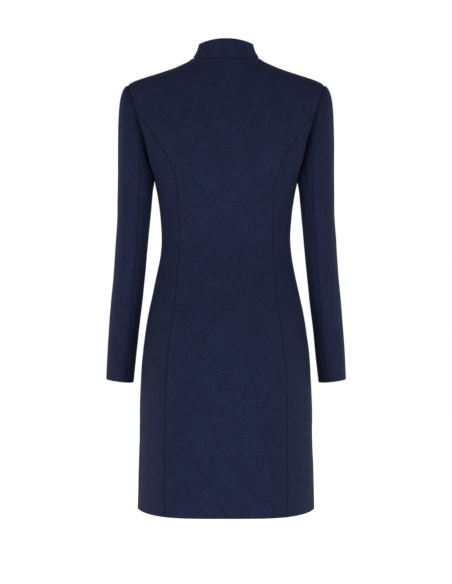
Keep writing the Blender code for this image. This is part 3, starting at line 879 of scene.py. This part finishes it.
# %% Creases on the sleeves
SLEEVE_CREASE_COLUMNS = "side from_angle from_along to_angle to_along bow width out".split()
SLEEVE_CREASES = (
    # behind and inside the elbow
    (1, 70, 1.30, 160, 1.37, 0.030, 0.0085, -0.0012),
    (1, 60, 1.47, 150, 1.42, -0.025, 0.0080, -0.0010),
    (1, -40, 1.36, -140, 1.40, 0.030, 0.0090, -0.0013),
    (1, -55, 1.50, -150, 1.46, -0.020, 0.0080, -0.0009),
    (-1, 65, 1.27, 155, 1.34, 0.030, 0.0090, -0.0011),
    (-1, 75, 1.43, 165, 1.40, -0.020, 0.0075, -0.0010),
    (-1, -45, 1.39, -145, 1.42, 0.030, 0.0085, -0.0012),
    (-1, -60, 1.52, -140, 1.49, -0.020, 0.0085, -0.0008),
    # down from the back of the armhole
    (1, 84, 0.42, 62, 1.16, 0.020, 0.0120, -0.0009),
    (-1, 86, 0.40, 66, 1.10, 0.020, 0.0125, -0.0010),
    (1, -82, 0.45, -60, 1.12, 0.020, 0.0120, -0.0009),
    (-1, -85, 0.42, -62, 1.14, 0.020, 0.0115, -0.0009),
    # the forearm
    (1, 25, 1.62, 70, 1.80, 0.020, 0.0130, -0.0007),
    (-1, 30, 1.60, 74, 1.77, 0.020, 0.0120, -0.0008),
)


# %% The lines they follow
STEEP = 0.15  # a crease of the body that climbs more than this bows sideways, not up
TURN_PER_METRE = 900  # degrees of turn for each metre of such a bow


def bowed(start, end, bow, share):
    """A value between two, pushed aside most in the middle."""
    return mix(start, end, share) + bow * 4 * share * (1 - share)


def body_crease_point(crease, share):
    steep = abs(crease.to_height - crease.from_height) > STEEP
    aside, up = (crease.bow * TURN_PER_METRE, 0.0) if steep else (0.0, crease.bow)
    turn = bowed(crease.from_turn, crease.to_turn, aside, share)
    return body_point(turn, bowed(crease.from_height, crease.to_height, up, share))


def sleeve_crease_point(crease, share):
    angle = mix(crease.from_angle, crease.to_angle, share)
    along = bowed(crease.from_along, crease.to_along, crease.bow, share)
    return on_side(sleeve_point(angle, along), crease.side)


def crease_lines(columns, rows, point_of):
    """The creases of a table as lines on the form, with their width and how far they stand out."""
    creases = [SimpleNamespace(**dict(zip(columns, row))) for row in rows]
    shares = spread(0.0, 1.0, 14)
    return [([point_of(c, share) for share in shares], c.width, c.out) for c in creases]


CREASE_LINES = crease_lines(BODY_CREASE_COLUMNS, BODY_CREASES, body_crease_point)
CREASE_LINES += crease_lines(SLEEVE_CREASE_COLUMNS, SLEEVE_CREASES, sleeve_crease_point)
print("creases placed:", len(CREASE_LINES))

# %% How far the cloth lies off the form
SEAM_ROLL = SimpleNamespace(depth=0.0017, width=0.0013, power=1.6)  # a lower power is more pointed
SEAM_WELT = SimpleNamespace(height=0.0004, away=0.0055, width=0.0035)
SEAM_PUCKER = SimpleNamespace(height=0.00022, spacing=0.011, width=0.007)
UNEVEN = ((0.070, 0.00075), (0.028, 0.00022))  # spacing and height of the slow waves in the cloth
CREASE_ENDS = 0.8  # below 1, a crease keeps more of its depth towards its ends


def bump_shape(distance, width, power=2):
    """1 on a line, falling smoothly to 0 at a few widths from it."""
    return np.exp(-((distance / width) ** power))


def crease_relief(points):
    """How far the creases and the cloth's own unevenness move each point out."""
    relief = np.zeros(len(points))
    for line, width, out in CREASE_LINES:
        gap, share = distance_to_line(points, line)
        ends = np.clip(np.sin(np.pi * share), 0.0, 1.0) ** CREASE_ENDS
        relief += out * bump_shape(gap, width) * ends
    for spacing, height in UNEVEN:
        relief += height * np.array([noise.noise(Vector(point) / spacing) for point in points])
    return relief


def seam_relief(points, seams):
    """How far the roll into each seam and the welt and pucker beside it move each point."""
    relief = np.zeros(len(points))
    for line in seams:
        gap, _ = distance_to_line(points, line)
        relief -= SEAM_ROLL.depth * bump_shape(gap, SEAM_ROLL.width, SEAM_ROLL.power)
        relief += SEAM_WELT.height * bump_shape(gap - SEAM_WELT.away, SEAM_WELT.width)
        for i in np.flatnonzero(gap < 3 * SEAM_PUCKER.width):
            ripple = noise.noise(Vector(points[i]) / SEAM_PUCKER.spacing)
            relief[i] += SEAM_PUCKER.height * ripple * bump_shape(gap[i], SEAM_PUCKER.width)
    return relief


# %% [markdown]
# ## The valley between sleeve and body
#
# Where a sleeve hangs, its cloth and the side panel both turn in to the armhole seam. Behind the arm
# that makes a deep narrow valley, with a soft ridge along the side panel's edge of it. The two pieces
# have different directions there, so both sink along the direction halfway between them. That keeps
# their edges together.

# %% Sizes of the valley
VALLEY_COLUMNS = ("angle", "depth", "body_width", "sleeve_width", "ridge")
VALLEY = (
    (-180, 0.0012, 0.0030, 0.0030, 0.0),
    (-155, 0.0035, 0.0040, 0.0040, 0.0),
    (-125, 0.0065, 0.0055, 0.0045, 0.0010),
    (-98, 0.0055, 0.0070, 0.0050, 0.0008),
    (-72, 0.0022, 0.0030, 0.0026, 0.0),
    (-30, 0.0016, 0.0018, 0.0018, 0.0),
    (0, 0.0016, 0.0016, 0.0016, 0.0),
    (40, 0.0018, 0.0020, 0.0018, 0.0),
    (68, 0.0022, 0.0026, 0.0024, 0.0),
    (80, 0.0050, 0.0060, 0.0045, 0.0006),
    (91, 0.0085, 0.0080, 0.0060, 0.0010),
    (103, 0.0125, 0.0060, 0.0050, 0.0014),
    (126, 0.0135, 0.0058, 0.0055, 0.0015),
    (142, 0.0110, 0.0055, 0.0060, 0.0010),
    (162, 0.0050, 0.0040, 0.0040, 0.0),
    (180, 0.0012, 0.0030, 0.0030, 0.0),
)
RIDGE = SimpleNamespace(away=0.0125, width=0.0055)
SEAM_CLEAR = 0.005  # the other seams' rolls fade out this close to the valley
VALLEY_REACH = 0.035
VALLEY_POWER = 1.5
CAP_START = 0.03  # the place along the cap that gives its direction at the armhole
VALLEY_ANGLES = spread(-180.0, 180.0, 90)
valley = read_table(VALLEY_COLUMNS, VALLEY)


def valley_direction(angle):
    """The direction halfway between outwards of the body and outwards of the sleeve."""
    return (body_normal(*armhole_place(angle)) + sleeve_place(angle, CAP_START)[1]).normalized()


VALLEY_LINE = [body_point(*armhole_place(angle)) for angle in VALLEY_ANGLES]
VALLEY_OUT = np.array([tuple(valley_direction(angle)) for angle in VALLEY_ANGLES])
print("deepest part of the valley:", max(row[1] for row in VALLEY) * 1000, "mm")


# %% How far it moves the cloth
def valley_moves(points, normals, on_body):
    """The move of each point into the valley or onto its ridge, its distance and the valley's out."""
    sides = np.where(points[:, :1] < 0, -1.0, 1.0) * np.array((1.0, 0.0, 0.0))
    sides += np.array((0.0, 1.0, 1.0))
    gap, share = distance_to_line(points * sides, VALLEY_LINE)
    at = share * (len(VALLEY_ANGLES) - 1)
    before = np.minimum(at.astype(int), len(VALLEY_ANGLES) - 2)
    rest = (at - before)[:, None]
    out = (VALLEY_OUT[before] * (1 - rest) + VALLEY_OUT[before + 1] * rest) * sides
    moves = np.zeros_like(points)
    for i in np.flatnonzero(gap < VALLEY_REACH):
        angle = mix(VALLEY_ANGLES[0], VALLEY_ANGLES[-1], share[i])
        width = valley.body_width(angle) if on_body else valley.sleeve_width(angle)
        moves[i] -= out[i] * valley.depth(angle) * bump_shape(gap[i], width, VALLEY_POWER)
        if on_body:
            beside = bump_shape(gap[i] - RIDGE.away, RIDGE.width)
            moves[i] += normals[i] * valley.ridge(angle) * beside
    return moves, gap, out


# %% [markdown]
# ## The wool
#
# The cloth is a navy wool crepe: matt, with a fine broken weave, single fibres that catch the light, and
# a short nap that turns lighter where it is seen edge on. The weave follows each piece's own UV map,
# which holds metres along and across its grain, so it runs the right way on every piece and keeps its
# real scale. Noise on object coordinates would be simpler, but it has no grain.

# %% Colours and scales of the wool
WOOL = SimpleNamespace(
    dark=(0.0010, 0.0015, 0.0050),
    light=(0.0057, 0.0077, 0.0202),
    sheen=(0.42, 0.48, 1.0),
    sheen_weight=0.018,
    sheen_roughness=0.42,
    roughness=0.88,
    specular=0.03,
    contrast=(1.44, 1.96),  # the sums of noise that give the dark and the light colour
    bump=0.4,
    bump_depth=0.0003,
)
THREAD = 0.0006  # metres from one thread to the next
WAVE = 0.314  # length of one wave of the wave texture at scale 1
TWILL_TURN = 27.0  # degrees between the twill line and the grain
SPECKLE = (0.0013, 0.0034)  # width and length of the short thick stretches of thread
STREAK = (0.0014, 0.0110)  # of the long faint ones
PATCH = (0.035, 0.050)  # and of the cloudy patches
STREAK_SHARE, PATCH_SHARE, TWILL_SHARE = 0.6, 0.2, 0.4
UV_NAME = "grain"
print("threads to a centimetre:", round(0.01 / THREAD))


# %% Helpers for its nodes
def set_inputs(node, **values):
    """Sets the inputs of a node by name, with spaces written as underscores."""
    for name, value in values.items():
        node.inputs[name.replace("_", " ")].default_value = value


def add_node(tree, kind, **values):
    node = tree.nodes.new(kind)
    set_inputs(node, **values)
    return node


def add_sum(tree, first, second, share):
    """A node that adds a share of the first output to the second."""
    node = tree.nodes.new("ShaderNodeMath")
    node.operation = "MULTIPLY_ADD"
    tree.links.new(first, node.inputs[0])
    node.inputs[1].default_value = share
    tree.links.new(second, node.inputs[2])
    return node.outputs["Value"]


def stretched_noise(tree, grain, width, length):
    """Noise whose patches are this wide across the grain and this long along it."""
    mapping = add_node(tree, "ShaderNodeMapping", Scale=(1 / width, 1 / length, 1.0))
    patches = add_node(tree, "ShaderNodeTexNoise", Scale=1.0, Detail=2.0, Roughness=0.6)
    tree.links.new(grain.outputs["UV"], mapping.inputs["Vector"])
    tree.links.new(mapping.outputs["Vector"], patches.inputs["Vector"])
    return patches.outputs["Fac"]


def crossed_threads(tree, grain, width, length):
    """Uneven threads of one kind, running both up the cloth and across it."""
    warp = stretched_noise(tree, grain, width, length)
    weft = stretched_noise(tree, grain, length, width)
    return add_sum(tree, weft, warp, 1.0)


# %% The wool for the left and the right pieces
def wool_material(name, grain_turn):
    """The wool, with its twill line turned for this piece's side."""
    material = bpy.data.materials.new(name)
    material.use_nodes = True
    tree = material.node_tree
    shader = tree.nodes["Principled BSDF"]
    set_inputs(shader, Roughness=WOOL.roughness, Specular_IOR_Level=WOOL.specular)
    set_inputs(shader, Sheen_Weight=WOOL.sheen_weight, Sheen_Roughness=WOOL.sheen_roughness)
    set_inputs(shader, Sheen_Tint=(*WOOL.sheen, 1.0))
    grain = tree.nodes.new("ShaderNodeUVMap")
    grain.uv_map = UV_NAME

    specks = crossed_threads(tree, grain, *SPECKLE)
    threads = add_sum(tree, crossed_threads(tree, grain, *STREAK), specks, STREAK_SHARE)
    cloth = add_sum(tree, stretched_noise(tree, grain, *PATCH), threads, PATCH_SHARE)
    low, high = WOOL.contrast
    contrast = add_node(tree, "ShaderNodeMapRange", From_Min=low, From_Max=high)
    tree.links.new(cloth, contrast.inputs["Value"])
    colours = tree.nodes.new("ShaderNodeMix")
    colours.data_type = "RGBA"
    colours.inputs[6].default_value = (*WOOL.dark, 1.0)
    colours.inputs[7].default_value = (*WOOL.light, 1.0)
    tree.links.new(contrast.outputs["Result"], colours.inputs[0])
    tree.links.new(colours.outputs[2], shader.inputs["Base Color"])

    line = add_node(tree, "ShaderNodeMapping", Rotation=(0.0, 0.0, math.radians(grain_turn)))
    twill = add_node(tree, "ShaderNodeTexWave", Scale=WAVE / THREAD, Distortion=1.0, Detail=2.0)
    tree.links.new(grain.outputs["UV"], line.inputs["Vector"])
    tree.links.new(line.outputs["Vector"], twill.inputs["Vector"])
    bump = add_node(tree, "ShaderNodeBump", Strength=WOOL.bump, Distance=WOOL.bump_depth)
    weave = add_sum(tree, twill.outputs["Fac"], threads, TWILL_SHARE)
    tree.links.new(weave, bump.inputs["Height"])
    tree.links.new(bump.outputs["Normal"], shader.inputs["Normal"])
    return material


wool_left = wool_material("navy_wool_left", TWILL_TURN)
wool_right = wool_material("navy_wool_right", -TWILL_TURN)
print("materials:", wool_left.name, wool_right.name)

# %% [markdown]
# ## Sewing a piece
#
# Every piece is made the same way. A bmesh grid has as many points as the piece has places. Each point
# moves to its place on the form, off it by the creases and down into the seams, and one more row along
# each sewn edge turns in behind the cloth, as a seam allowance does. At the armhole the body's edge and
# the sleeve's turn in the same way, along the valley, so that they stay together. A Solidify modifier
# then gives the sheet its thickness inwards, so the outer face stays where it was put.

# %% The turned-in edges
CLOTH_THICKNESS = 0.0019
SEAM_GAP = 0.0003
TUCK = 0.0024
MEET = 0.0008  # a turned-in edge leans this far towards its neighbour, so that no light gets through
EDGES = {"bottom": (0, 0), "top": (-1, 0), "left": (0, 1), "right": (-1, 1)}  # index and axis
SEWN_EDGES = ("top", "left", "right")


def past_edge(points, edge, axis):
    """The edge row of a grid, and the direction along the cloth past each of its points."""
    row, inner = points.take(edge, axis), points.take(1 if edge == 0 else -2, axis)
    return row, (row - inner) / np.linalg.norm(row - inner, axis=1)[:, None]


def pull_edges_back(points):
    """Moves the edge points of a grid inwards by half the seam gap, along the cloth."""
    moved = points.copy()
    for edge, axis in EDGES.values():
        moved.swapaxes(0, axis)[edge] -= past_edge(points, edge, axis)[1] * SEAM_GAP / 2
    return moved


def tuck_under(points, ways_out, grain, edges):
    """Adds a row beyond each named edge, turned in behind the cloth."""
    for edge, axis in (EDGES[name] for name in edges):
        row, past = past_edge(points, edge, axis)
        out = ways_out.take(edge, axis)
        rows = row + (past * MEET - out * TUCK), out, grain.take(edge, axis)
        grids = points, ways_out, grain
        beyond = 0 if edge == 0 else points.shape[axis]
        points, ways_out, grain = (np.insert(g, beyond, r, axis) for g, r in zip(grids, rows))
    return points, ways_out, grain


print("each sewn edge turns in by", 1000 * TUCK, "mm")


# %% Shape the cloth and make its mesh
def drape(points, normals, seams, on_body):
    """The points moved off the form, and the way out of the cloth at each of them."""
    listed = points.reshape(-1, 3)
    moves, gap, out = valley_moves(listed, normals.reshape(-1, 3), on_body)
    clear = 1 - bump_shape(gap, SEAM_CLEAR)[:, None]
    relief = crease_relief(listed)[:, None] + seam_relief(listed, seams)[:, None] * clear
    draped = points + normals * relief.reshape(*points.shape[:2], 1) + moves.reshape(points.shape)
    return draped, mix(out, normals.reshape(-1, 3), clear).reshape(points.shape)


def cloth_mesh(name, points, ways_out, grain):
    """A bmesh grid with each of its points put in its place, and the grain as its UV map."""
    rows, columns = points.shape[:2]
    bm = bmesh.new()
    grain_map = bm.loops.layers.uv.new(UV_NAME)
    bmesh.ops.create_grid(bm, x_segments=columns - 1, y_segments=rows - 1, size=0.5)
    cells = {}
    for vertex in bm.verts:
        column = round((vertex.co.x + 0.5) * (columns - 1))
        row = round((vertex.co.y + 0.5) * (rows - 1))
        cells[vertex] = (row, column)
        vertex.co = points[row, column]
    for face in bm.faces:
        face.smooth = True
        for loop in face.loops:
            loop[grain_map].uv = grain[cells[loop.vert]]
    bm.normal_update()
    if sum(face.normal.dot(Vector(ways_out[cells[face.verts[0]]])) for face in bm.faces) < 0:
        bmesh.ops.reverse_faces(bm, faces=bm.faces)
    mesh = bpy.data.meshes.new(name)
    bm.to_mesh(mesh)
    bm.free()
    print(f"{name}: {rows} x {columns} points")
    return mesh


# %% Make a piece
def sew(name, grid, seams, side=1, thickness=CLOTH_THICKNESS, tucked=SEWN_EDGES):
    """A piece of cloth from its grid of places. Side -1 makes it for the wearer's right side."""
    turn_over = np.array((side, 1.0, 1.0))
    points, normals = (
        np.array([[tuple(place[i]) for place in row] for row in grid]) * turn_over for i in (0, 1)
    )
    grain = np.array([[place[2] for place in row] for row in grid]) * np.array((side, 1.0))
    seams = [[on_side(point, side) for point in line] for line in seams]
    points, ways_out = drape(pull_edges_back(points), normals, seams, "sleeve" not in name)
    mesh = cloth_mesh(name, *tuck_under(points, ways_out, grain, tucked))
    mesh.materials.append(wool_left if side > 0 else wool_right)
    piece = bpy.data.objects.new(name + "_cloth", mesh)
    bpy.context.scene.collection.objects.link(piece)
    wall = piece.modifiers.new("thickness", "SOLIDIFY")
    wall.thickness = thickness
    wall.offset = -1.0
    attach(piece, "root")
    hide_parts(name)


# %% The seam lines as points
def line_on_body(places):
    return [body_point(*place) for place in places]


def shaped_line(seam, meets):
    junction = armhole_place(meets)[1]
    return line_on_body([(seam(height), height) for height in spread(HEM_HEIGHT, junction, 110)])


BACK_SHAPED_LINE = shaped_line(back_seam_turn, BACK_SEAM_MEETS)
FRONT_SHAPED_LINE = shaped_line(front_seam_turn, FRONT_SEAM_MEETS)
SHOULDER_LINE = line_on_body([(90.0, height) for height in spread(ARMHOLE.top, 0.0, 30)])
SIDE_LINE = line_on_body([(90.0, height) for height in spread(HEM_HEIGHT, ARMHOLE.bottom, 90)])
BACK_NECK_LINE = line_on_body([(turn, neck_height(turn)) for turn in spread(90.0, 180.0, 40)])
FRONT_NECK_LINE = line_on_body([(turn, neck_height(turn)) for turn in spread(-12.0, 90.0, 50)])


def both_sides(line):
    """A line on the left together with its mirror image."""
    return [line, [on_side(point, -1) for point in line]]


def sleeve_seam_line(angles):
    return [sleeve_point(seam_angle(angles, along), along) for along in spread(0.0, 2.0, 110)]


print("the side seam is", round(lengths_along(SIDE_LINE)[-1], 3), "m long")

# %% [markdown]
# ## Sew the body
#
# The wearer's right front lies outside, so it is lifted off the form and the left one is pushed in by
# as much.

# %% Centre back, fronts and side panels
back_lines = (BACK_SHAPED_LINE, SHOULDER_LINE, BACK_NECK_LINE)
back_seams = [one for line in back_lines for one in both_sides(line)]
sew("back_centre", centre_back_grid(), back_seams)
front_seams = (FRONT_SHAPED_LINE, SHOULDER_LINE, FRONT_NECK_LINE)
sew("front_left", front_grid(-LAP.lift), front_seams)
sew("front_right", front_grid(LAP.lift), front_seams, -1)
back_side_seams = (BACK_SHAPED_LINE, SIDE_LINE)
front_side_seams = (FRONT_SHAPED_LINE, SIDE_LINE)
for name, side in (("left", 1), ("right", -1)):
    sew(f"back_side_{name}", side_panel_grid(True), back_side_seams, side)
    sew(f"front_side_{name}", side_panel_grid(False), front_side_seams, side)

# %% [markdown]
# ## Sew the sleeves and the collar
#
# The collar is lighter cloth, because it lies double, and its two ends meet in the middle of the front.

# %% Sleeves
sleeve_seams = [sleeve_seam_line(SLEEVE_BACK_SEAM), sleeve_seam_line(SLEEVE_FRONT_SEAM)]
for name, side in (("left", 1), ("right", -1)):
    sew(f"sleeve_upper_{name}", sleeve_grid(True), sleeve_seams, side)
    sew(f"sleeve_under_{name}", sleeve_grid(False), sleeve_seams, side)

# %% Collar
collar_ends = [collar_point(0.0, share) for share in spread(0.0, 1.0, 12)]
collar_seams = both_sides(BACK_NECK_LINE) + both_sides(FRONT_NECK_LINE) + [collar_ends]
ends = ("bottom", "left", "right")
sew("collar", collar_grid(), collar_seams, thickness=0.0015, tucked=ends)

# %% [markdown]
# ## Floor, light and camera
#
# The photo has an even white ground and soft light from all round, so a white world lights the scene
# and three pairs of large, weak lamps add a little shape. The floor glows a little, which keeps it as
# white as the world. The camera stands level behind the coat at mid height, with a lens that makes the
# coat as large in the picture as it is in the photo.

# %% Floor
FLOOR = SimpleNamespace(height=-1.60, half_size=9.0, colour=(0.97, 0.97, 0.97), glow=0.08)
bm = bmesh.new()
bmesh.ops.create_grid(bm, x_segments=2, y_segments=2, size=FLOOR.half_size)
bmesh.ops.translate(bm, verts=bm.verts, vec=(0.0, 0.0, FLOOR.height))
floor_mesh = bpy.data.meshes.new("floor")
bm.to_mesh(floor_mesh)
bm.free()
floor = bpy.data.objects.new("floor", floor_mesh)
bpy.context.scene.collection.objects.link(floor)
paper = bpy.data.materials.new("pale_paper")
paper.use_nodes = True
WHITE = (1.0, 1.0, 1.0, 1.0)
paper_shader = paper.node_tree.nodes["Principled BSDF"]
set_inputs(paper_shader, Base_Color=(*FLOOR.colour, 1.0), Roughness=0.9)
set_inputs(paper_shader, Emission_Color=WHITE, Emission_Strength=FLOOR.glow)
floor_mesh.materials.append(paper)

# %% World and lamps
world = bpy.data.worlds.new("white_room")
bpy.context.scene.world = world
world.use_nodes = True
set_inputs(world.node_tree.nodes["Background"], Color=WHITE, Strength=1.0)
COAT_MIDDLE = Vector((0.0, 0.0, -0.481))
LAMPS = (
    ("side", (2.2, 1.7, -0.50), 1.0, 68.0),
    ("rim", (2.2, -1.0, -0.50), 1.4, 29.0),
    ("low", (1.4, 2.6, -1.30), 1.0, 70.0),
)


def add_lamp(name, place, size, power):
    """A round soft lamp that faces the middle of the coat."""
    lamp = bpy.data.lights.new(name, "AREA")
    lamp.shape = "DISK"
    lamp.size = size
    lamp.energy = power
    lamp_object = bpy.data.objects.new(name, lamp)
    bpy.context.scene.collection.objects.link(lamp_object)
    lamp_object.location = place
    lamp_object.rotation_euler = (COAT_MIDDLE - Vector(place)).to_track_quat("-Z", "Y").to_euler()


for name, (x, y, z), size, power in LAMPS:
    add_lamp(name + "_lamp_left", (x, y, z), size, power)
    add_lamp(name + "_lamp_right", (-x, y, z), size, power)

# %% Camera
CAMERA_DISTANCE = 2.9
camera_data = bpy.data.cameras.new("camera")
camera_data.lens = 86.8
camera_data.sensor_width = 36.0
camera = bpy.data.objects.new("camera", camera_data)
bpy.context.scene.collection.objects.link(camera)
camera.location = COAT_MIDDLE + Vector((0.0, CAMERA_DISTANCE, 0.0))
camera.rotation_euler = (math.radians(90), 0.0, math.radians(180))
bpy.context.scene.camera = camera
bpy.context.scene.view_settings.view_transform = "Standard"
